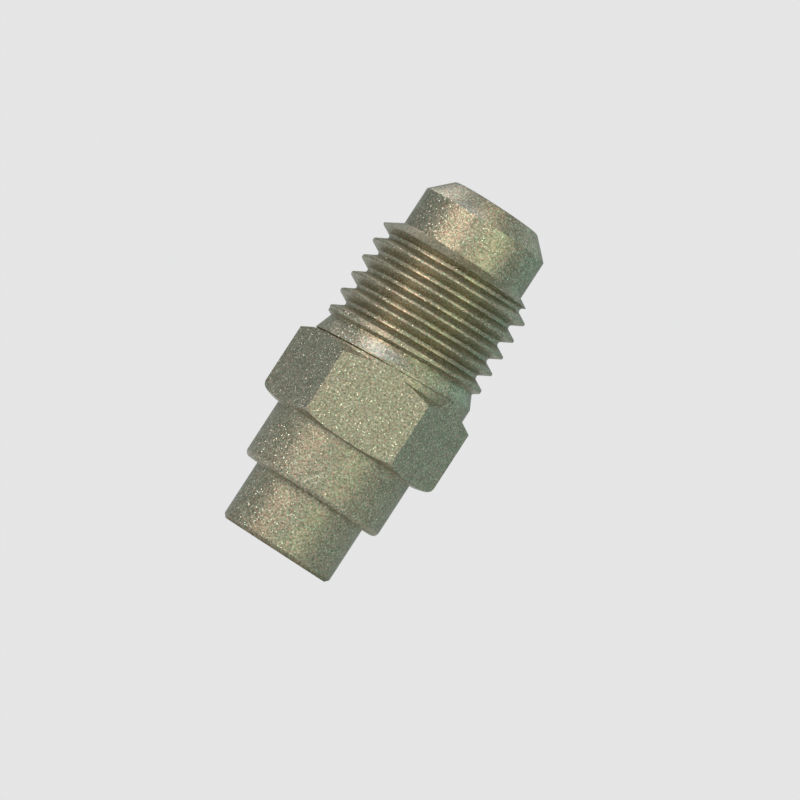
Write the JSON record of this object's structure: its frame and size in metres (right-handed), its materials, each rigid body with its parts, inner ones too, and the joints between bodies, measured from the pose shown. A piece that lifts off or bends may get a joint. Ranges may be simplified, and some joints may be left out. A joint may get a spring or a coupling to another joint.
{
  "type": "flare access fitting",
  "caption": "Brass flare access fitting with a hexagon and a solder spigot, holding a screw-in valve core with a sprung pin.",
  "frame": {"origin": "centre of the spigot's end face, which is the middle of the box's bottom", "axes": "+Z along the fitting's axis towards the flare nose; the hexagon's corners point along +X and -X, and two of its flats face +Y and -Y"},
  "size_m": [0.0128, 0.0112, 0.026],
  "materials": {
    "body_brass": "fine blasted",
    "core_brass": "machined",
    "spring_steel": "drawn wire",
    "gasket": "waxy",
    "seal_rubber": "moulded"
  },
  "bodies": {
    "fitting_body": {"fitting_body": "body_brass"},
    "core_barrel": {"core_barrel": "core_brass", "barrel_gasket": "gasket", "return_spring": "spring_steel"},
    "core_plug": {"core_plug": "core_brass"},
    "core_stem": {"valve_pin": "core_brass", "spring_collar": "core_brass", "poppet_cup": "core_brass", "poppet_seal": "seal_rubber"}
  },
  "joints": [
    {"name": "core_lift", "type": "slide", "parent": "fitting_body", "child": "core_barrel", "axis": [0, 0, 1], "range_m": [0, 0.00494]},
    {"name": "core_turn", "type": "hinge", "parent": "core_barrel", "child": "core_plug", "pos_m": [0, 0, 0.022], "axis": [0, 0, 1], "range_deg": [0, 2520]},
    {"name": "pin_press", "type": "slide", "parent": "core_barrel", "child": "core_stem", "axis": [0, 0, -1], "range_m": [0, 0.0012], "stiffness_N_per_m": 1200, "springref_m": -0.0015, "deforming": ["return_spring"]}
  ],
  "couplings": [
    {"joint": "core_turn", "follows": "core_lift", "rad_per_m": 8905.3}
  ]
}
